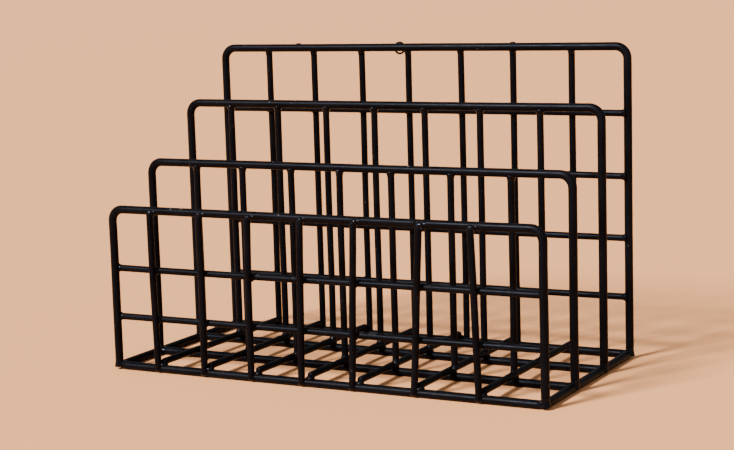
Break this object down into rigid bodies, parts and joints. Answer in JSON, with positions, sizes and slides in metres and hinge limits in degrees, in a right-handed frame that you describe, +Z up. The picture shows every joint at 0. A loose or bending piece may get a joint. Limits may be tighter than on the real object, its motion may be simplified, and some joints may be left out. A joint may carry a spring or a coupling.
{
  "type": "magazine rack",
  "caption": "Wall-hung magazine rack of black coated welded wire: a flat wire floor with upright grid panels that rise in steps towards the back.",
  "frame": {"origin": "middle of the footprint, at the height of the surface that the base ring lies on", "axes": "+X to the right along the panels, +Y back towards the wall, +Z up"},
  "size_m": [0.3118, 0.1552, 0.2089],
  "materials": {
    "coated_frame": "satin black powder coat on 5.5 mm steel wire",
    "coated_wire": "satin black powder coat on 4.5 mm steel wire",
    "coated_weld": "satin black powder coat, pooled a little thicker over the weld beads"
  },
  "bodies": {
    "root": {"base_ring": "coated_frame", "base_rail_middle": "coated_frame", "base_rail_rear": "coated_frame", "floor_wire_1": "coated_wire", "floor_wire_2": "coated_wire", "floor_wire_3": "coated_wire", "floor_wire_4": "coated_wire", "floor_wire_5": "coated_wire", "floor_wire_6": "coated_wire", "floor_wire_7": "coated_wire", "front_frame": "coated_frame", "front_upright_1": "coated_wire", "front_upright_2": "coated_wire", "front_upright_3": "coated_wire", "front_upright_4": "coated_wire", "front_upright_5": "coated_wire", "front_upright_6": "coated_wire", "front_upright_7": "coated_wire", "front_bar_1": "coated_wire", "front_bar_2": "coated_wire", "middle_frame": "coated_frame", "middle_upright_1": "coated_wire", "middle_upright_2": "coated_wire", "middle_upright_3": "coated_wire", "middle_upright_4": "coated_wire", "middle_upright_5": "coated_wire", "middle_upright_6": "coated_wire", "middle_upright_7": "coated_wire", "rear_frame": "coated_frame", "rear_upright_1": "coated_wire", "rear_upright_2": "coated_wire", "rear_upright_3": "coated_wire", "rear_upright_4": "coated_wire", "rear_upright_5": "coated_wire", "rear_upright_6": "coated_wire", "rear_upright_7": "coated_wire", "back_frame": "coated_frame", "back_upright_1": "coated_wire", "back_upright_2": "coated_wire", "back_upright_3": "coated_wire", "back_upright_4": "coated_wire", "back_upright_5": "coated_wire", "back_upright_6": "coated_wire", "back_upright_7": "coated_wire", "back_bar_1": "coated_wire", "back_bar_2": "coated_wire", "back_bar_3": "coated_wire", "back_bar_4": "coated_wire", "hanging_eye": "coated_wire", "eye_weld": "coated_weld", "foot_welds": "coated_weld"}
  },
  "joints": []
}
